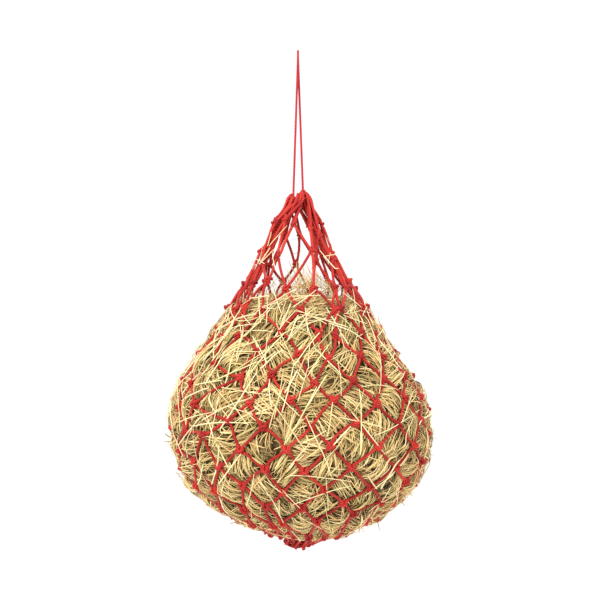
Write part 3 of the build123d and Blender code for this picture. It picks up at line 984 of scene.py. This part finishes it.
def strips(name, place, normals, widths, tints, hues, material, taper=(0.45, 0.85, 1.0, 0.8, 0.22)):
    """Folded grass blades along given lines (m, k, 3): closed three-sided strips that narrow to their tips."""
    m, k = place.shape[:2]
    tangent = unit(np.gradient(place, axis=1))
    side = unit(np.cross(tangent, normals))
    roll = rng.uniform(-0.9, 0.9, m)[:, None, None]
    lift = np.cross(side, tangent)
    side, lift = side * np.cos(roll) + lift * np.sin(roll), lift * np.cos(roll) - side * np.sin(roll)
    shape = np.interp(np.linspace(0, 1, k), [0, 0.12, 0.5, 0.8, 1.0], taper)[None, :, None]
    half = widths[:, None, None] * 0.5 * shape
    corners = np.stack([place - side * half - lift * half * 0.25, place + side * half - lift * half * 0.25, place + lift * half * 0.6], 2)
    first = (np.arange(m) * k * 3)[:, None, None]
    ring_ = (np.arange(k - 1) * 3)[None, :, None]
    a = np.array([0, 1, 2])[None, None, :]
    b = np.array([1, 2, 0])[None, None, :]
    quads = np.stack(np.broadcast_arrays(first + ring_ + a, first + ring_ + b, first + ring_ + 3 + b, first + ring_ + 3 + a), -1).reshape(-1, 4)
    base_index = (np.arange(m) * k * 3)[:, None]
    tris = np.concatenate([base_index + np.array([[2, 1, 0]]), base_index + (k - 1) * 3 + np.array([[0, 1, 2]])])
    length = np.linalg.norm(np.diff(place, axis=1), axis=2).sum(1)
    along = np.broadcast_to(np.linspace(0, 1, k)[None, :, None], (m, k, 3)).ravel() * np.repeat(length, k * 3) / 50.0
    crease = np.broadcast_to(np.array([0.0, 1.0, 0.5])[None, None, :], (m, k, 3)).ravel()
    return add_mesh(name, metres(corners.reshape(-1, 3)), [quads, tris], material, False,
                    {"tint": np.repeat(tints, k * 3), "hue": np.repeat(hues, k * 3), "along": along, "crease": crease})


def laid(centres, lean, lengths, depth, curl, k, over=False, tip=0.0, swell=1.0, flat=0):
    """Lines along the hay's surface that dip under the twine, or lie over it."""
    base, n = hay_skin(centres)
    e1 = unit(np.cross(np.broadcast_to(np.array([0, 0, 1.0]), n.shape), n) + 1e-9)
    e2 = np.cross(n, e1)
    t = np.linspace(-0.5, 0.5, k)[None, :, None]
    c, s = np.cos(lean)[:, None, None], np.sin(lean)[:, None, None]
    d1, d2 = e1[:, None, :] * c + e2[:, None, :] * s, e2[:, None, :] * c - e1[:, None, :] * s
    L = lengths[:, None, None]
    path = base[:, None, :] + d1 * t * L + d2 * (curl[:, None, None] * (t ** 2 - 0.08) * L)
    on, normals = hay_skin(path)
    distance = twine_distance(on)
    swell = np.broadcast_to(swell, (len(centres),))[:, None]
    offset = pillow(distance, swell)
    offset = offset * np.clip((-392.0 - on[..., 2]) / 30.0 + 0.1, 0.1, 1.0) + depth[:, None]
    for _ in range(flat if over else 1):
        offset = np.concatenate([offset[:, :1], 0.25 * offset[:, :-2] + 0.5 * offset[:, 1:-1] + 0.25 * offset[:, 2:], offset[:, -1:]], 1)
    if over:
        offset = np.maximum(offset, 3.6)
    else:
        offset = np.minimum(offset, -2.7 + 1.25 * np.clip(distance - 2.4, 0, None))
    tip = np.broadcast_to(tip, (len(centres),))
    offset = offset + tip[:, None] * (np.linspace(-0.35, 1.0, k)[None, :]).clip(0) ** 1.6 * lengths[:, None]
    return on + normals * offset[..., None], normals


def scatter(count):
    """Even points over the hay's skin."""
    out = []
    while sum(len(o) for o in out) < count:
        d = unit(rng.normal(size=(count * 2, 3)))
        p, n = hay_skin(CENTRE + d * 100)
        weight = np.sum((p - CENTRE) ** 2, 1) / np.maximum(np.sum(n * d, 1), 0.3)
        out.append(p[rng.random(len(p)) < weight / weight.max()])
    return np.concatenate(out)[:count]


# the third column is painted shade: each deeper layer gets a lower tint, so its blades are coloured darker, as the
# shadow between the upper blades would make them
LAYERS = ((3000, -8.2, 0.04), (3100, -6.3, 0.16), (3300, -4.5, 0.32), (3300, -2.8, 0.46), (3200, -1.2, 0.60), (2300, 0.5, 0.76))
for number, (count, deep, shade) in enumerate(LAYERS):
    centres = scatter(count)
    cell = cell_of(centres)
    e = np.cross(np.array([0, 0, 1.0]), hay_skin(centres)[1])
    sideways = np.sum((centres - cells[cell]) * unit(e + 1e-9), 1)
    lean = cell_lean[cell] + rng.normal(0, 1, count) * cell_spread[cell] + cell_fan[cell] * sideways * 2.0
    loose = rng.random(count) < (0.30 if number < 3 else 0.18)
    lean[loose] = rng.uniform(0, math.pi, loose.sum())
    lengths = rng.uniform(18, 54, count)
    widths = np.clip(1.75 * np.exp(rng.normal(0, 0.38, count)), 0.9, 4.8) * (1.1 - 0.04 * number)
    depth = deep + rng.normal(0, 0.8, count)
    # painted shade: the layer's shade value sets how dark its blades are coloured
    tints = np.clip(rng.normal(shade, 0.19, count) + cell_tint[cell], 0, 1)
    hues = rng.random(count)
    tip = np.where(rng.random(count) < (0.05 if number > 2 else 0.0), rng.uniform(0.03, 0.16, count), 0.0)
    place, normals = laid(centres, lean, lengths, depth, rng.normal(0, 0.05, count), 7, tip=tip, swell=cell_swell[cell])
    settle(strips(f"hay_blades_{number + 1}", place, normals, widths, tints, hues, hay_blade_material), "net_body", None)

# pale stalks that lie over the netting; most are high on the left of the front
count = 330
centres = scatter(count * 4)
want = 0.22 + 0.9 * np.exp(-(((centres[:, 0] + 70) / 95) ** 2 + ((centres[:, 2] + 520) / 75) ** 2)) * (centres[:, 1] < 40)
want += 0.35 * np.exp(-((centres[:, 2] + 430) / 40) ** 2)
centres = centres[rng.random(len(centres)) < want][:count]
count = len(centres)
lengths = rng.uniform(38, 100, count)
place, normals = laid(centres, rng.normal(1.25, 0.75, count), lengths, rng.uniform(2.5, 4.5, count), rng.normal(0, 0.08, count), 11, over=True,
                      tip=np.where(rng.random(count) < 0.4, rng.uniform(0.02, 0.12, count), 0.0), flat=10)
settle(strips("hay_stalks_over_net", place, normals, rng.uniform(1.2, 2.3, count), np.clip(rng.normal(0.7, 0.18, count), 0, 1),
              rng.random(count) * 0.5, hay_stalk_material, (0.8, 1.0, 1.0, 0.95, 0.6)), "net_body", None)

# ends that stick out through the meshes
count = 520
centres = scatter(count)
base, n = hay_skin(centres)
way = unit(n * rng.uniform(0.25, 0.9, (count, 1)) + rng.normal(0, 0.55, (count, 3)))
way = unit(way + n * np.clip(0.22 - np.sum(way * n, 1), 0, None)[:, None])
start = base + n * (pillow(twine_distance(base)) - 6.0)[:, None]
long = rng.uniform(9, 24, count)
t = np.linspace(0, 1, 4)[None, :, None]
place = start[:, None, :] + way[:, None, :] * t * long[:, None, None] + rng.normal(0, 1, (count, 1, 3)) * t ** 2 * 1.6
settle(strips("hay_ends_through_meshes", place, np.broadcast_to(n[:, None, :], place.shape), rng.uniform(0.9, 1.8, count),
              np.clip(rng.normal(0.6, 0.2, count), 0, 1), rng.random(count), hay_blade_material), "net_body", None)

# the loose top of the hay: stalks that lean every way and stand up into the neck
count = 620
radius = 100 * np.sqrt(rng.random(count))
turn = rng.uniform(0, 2 * math.pi, count)
foot = np.stack([radius * np.cos(turn), radius * np.sin(turn), np.zeros(count)], 1)
foot[:, 2] = -401.0 - 8.0 * (radius / 100) ** 2 + rng.normal(0, 4.0, count) + 7.0 * np.sin(4.2 * turn + 0.8) * (radius / 100)
steep = rng.uniform(-0.25, 0.75, count) * (rng.random(count) < 0.8)
heading = rng.uniform(0, 2 * math.pi, count)
way = unit(np.stack([np.cos(heading), np.sin(heading), steep], 1))
long = rng.uniform(28, 74, count)
t = np.linspace(-0.45, 0.55, 8)[None, :, None]
sag = rng.normal(0, 0.10, (count, 1, 3)) * (t ** 2) * long[:, None, None]
place = foot[:, None, :] + way[:, None, :] * t * long[:, None, None] + sag
# nothing passes out through the net: the lines are drawn in to the net's own radius
limit = np.interp(-place[..., 2], -PROFILE[:, 1], PROFILE[:, 0]) - 5.0
here = np.hypot(place[..., 0], place[..., 1])
shrink = np.minimum(1.0, limit / np.maximum(here, 1e-6))
stand = rng.random(count) < 0.10
shrink[stand] = np.minimum(1.0, (limit[stand] + 12.0) / np.maximum(here[stand], 1e-6))
place[..., :2] *= shrink[..., None]
normals = np.broadcast_to(unit(np.stack([foot[:, 0], foot[:, 1], np.full(count, 90.0)], 1))[:, None, :], place.shape)
settle(strips("hay_loose_top", place, normals, rng.uniform(1.2, 2.4, count), np.clip(rng.normal(0.58, 0.2, count), 0, 1), rng.random(count),
              hay_blade_material), "net_body", None)

# wisps stand up into the neck and thin out upwards; they keep inside the netting, also when the neck slides down on them
count = 215
heap = rng.random(count) < 0.72
foot = np.stack([np.where(heap, rng.normal(16, 26, count), rng.normal(-4, 50, count)),
                 np.where(heap, rng.normal(-14, 26, count), rng.normal(0, 44, count)),
                 -403.0 + rng.normal(0, 5.0, count) + np.where(heap, rng.uniform(0, 33, count), 0.0)], 1)
heading = rng.uniform(0, 2 * math.pi, count)
steep = np.where(heap, rng.uniform(0.25, 2.4, count), rng.uniform(0.4, 1.8, count)) * np.where(rng.random(count) < 0.12, -0.3, 1.0)
way = unit(np.stack([np.cos(heading), np.sin(heading), steep], 1))
long = rng.uniform(24, 62, count)
t = np.linspace(-0.25, 0.75, 8)[None, :, None]
place = foot[:, None, :] + way[:, None, :] * t * long[:, None, None] + rng.normal(0, 0.09, (count, 1, 3)) * (t ** 2) * long[:, None, None]
place[..., 2] = np.where(place[..., 2] > -334.0, -334.0 + (place[..., 2] + 334.0) * 0.35, place[..., 2])
lower = (-place[..., 2] - 214.2) / KEEP                       # the part of the neck that comes down to this height
room = np.interp(lower, (232, 240, 255, 275, 300, 330, 350, 371, 400), (4.5, 6, 9, 15, 24, 34, 46, 60, 84))
limit = np.minimum(np.interp(-place[..., 2], -PROFILE[:, 1], PROFILE[:, 0]) - 6.0, room)
place[..., 1] *= 1.25
place[..., :2] *= np.minimum(1.0, limit / np.maximum(np.hypot(place[..., 0], place[..., 1]), 1e-6))[..., None]
place[..., 1] *= 0.8
normals = np.broadcast_to(unit(foot * [1, 1, 0])[:, None, :], place.shape)
settle(strips("hay_stalks_in_neck", place, normals, rng.uniform(0.9, 1.8, count), np.clip(rng.normal(0.74, 0.16, count), 0, 1),
              rng.random(count), hay_blade_material), "net_body", None)

def straws_outside(name, count, where, height, slant, long, lifted, low, high, oval, body, in_neck):
    """Straight straws caught on the outside of the netting: each touches it at one place and stands off at its ends."""
    r = np.interp(-height, -PROFILE[:, 1], PROFILE[:, 0])
    fall = (np.interp(-height + 6, -PROFILE[:, 1], PROFILE[:, 0]) - np.interp(-height - 6, -PROFILE[:, 1], PROFILE[:, 0])) / 12.0
    ca, sa = np.cos(where), np.sin(where)
    out = unit(np.stack([ca, sa, fall], 1))
    level_ = np.stack([-sa, ca, np.zeros(count)], 1)
    up = np.cross(out, level_)
    d = level_ * np.cos(slant)[:, None] + up * np.sin(slant)[:, None]
    t_ = np.linspace(-0.5, 0.5, 7)[None, :, None]
    touch = np.stack([r * ca, r * sa, height], 1) + out * lifted[:, None]
    line = touch[:, None, :] + d[:, None, :] * t_ * long[:, None, None] + rng.normal(0, 0.05, (count, 1, 3)) * (t_ ** 2) * long[:, None, None]
    line[..., 2] = np.clip(line[..., 2], low, high)
    line[..., 1] *= oval
    settle(strips(name, line, np.broadcast_to(out[:, None, :], line.shape), rng.uniform(1.0, 1.8, count), np.clip(rng.normal(0.78, 0.14, count), 0, 1),
                  rng.random(count) * 0.6, hay_stalk_material, (0.8, 1.0, 1.0, 0.95, 0.6)), body, None, in_neck)


# on the neck most are low at the front right and front left
count = 22
straws_outside("hay_straws_on_neck", count,
               np.radians(rng.choice([300, 318, 334, 350, 210, 228, 198, 20, 90, 140, 160], count) + rng.normal(0, 11, count)),
               rng.uniform(-344, -322, count) + 34.0 * rng.random(count) ** 3,
               rng.choice([0.35, 0.9, 1.5, 2.1, 2.7], count) + rng.normal(0, 0.25, count), rng.uniform(18, 50, count),
               rng.uniform(2.8, 4.6, count), -347.0, -262.0, 0.92, "mouth_gather", True)
# and a few lie over the first meshes of the shoulder
count = 46
straws_outside("hay_straws_on_shoulder", count,
               np.radians(np.where(rng.random(count) < 0.7, rng.uniform(190, 355, count), rng.uniform(0, 360, count))),
               rng.uniform(-430, -392, count), rng.uniform(0, math.pi, count), rng.uniform(22, 58, count),
               rng.uniform(3.4, 5.2, count), -450.0, -379.0, 1.0, "net_body", False)

# ------------------------------------------------------------------ studio
floor_mesh = bpy.data.meshes.new("floor")
size = 90.0
floor_z = -1.90
floor_mesh.from_pydata([(-size, -size, floor_z), (size, -size, floor_z), (size, size, floor_z), (-size, size, floor_z)], [], [(0, 1, 2, 3)])
floor = bpy.data.objects.new("floor", floor_mesh)
scene.collection.objects.link(floor)
floor_material, tree_, shader_ = new_material("floor_pale")
shader_.inputs["Base Color"].default_value = (0.97, 0.97, 0.97, 1.0)
shader_.inputs["Roughness"].default_value = 1.0
shader_.inputs["Specular IOR Level"].default_value = 0.0
floor_mesh.materials.append(floor_material)

world = bpy.data.worlds.new("studio")
scene.world = world
world.use_nodes = True
background = world.node_tree.nodes["Background"]
background.inputs[0].default_value = (1.0, 1.0, 1.0, 1.0)
background.inputs[1].default_value = 1.06


def area_light(name, location, target, size, power, colour=(1, 1, 1)):
    data = bpy.data.lights.new(name, "AREA")
    data.shape = "DISK"
    data.size = size
    data.energy = power
    data.color = colour
    lamp = bpy.data.objects.new(name, data)
    scene.collection.objects.link(lamp)
    lamp.location = location
    lamp.rotation_euler = (Vector(target) - Vector(location)).to_track_quat("-Z", "Y").to_euler()


area_light("key", (-1.1, -2.1, 1.0), (0, 0, -0.5), 0.7, 62.0, (1.0, 0.985, 0.96))
area_light("fill", (1.9, -1.5, 0.6), (0, 0, -0.5), 1.2, 22.0)
area_light("back", (0.7, 2.2, 0.9), (0, 0, -0.5), 1.0, 34.0)
area_light("side", (-2.2, 1.0, 0.7), (0, 0, -0.5), 1.0, 16.0)
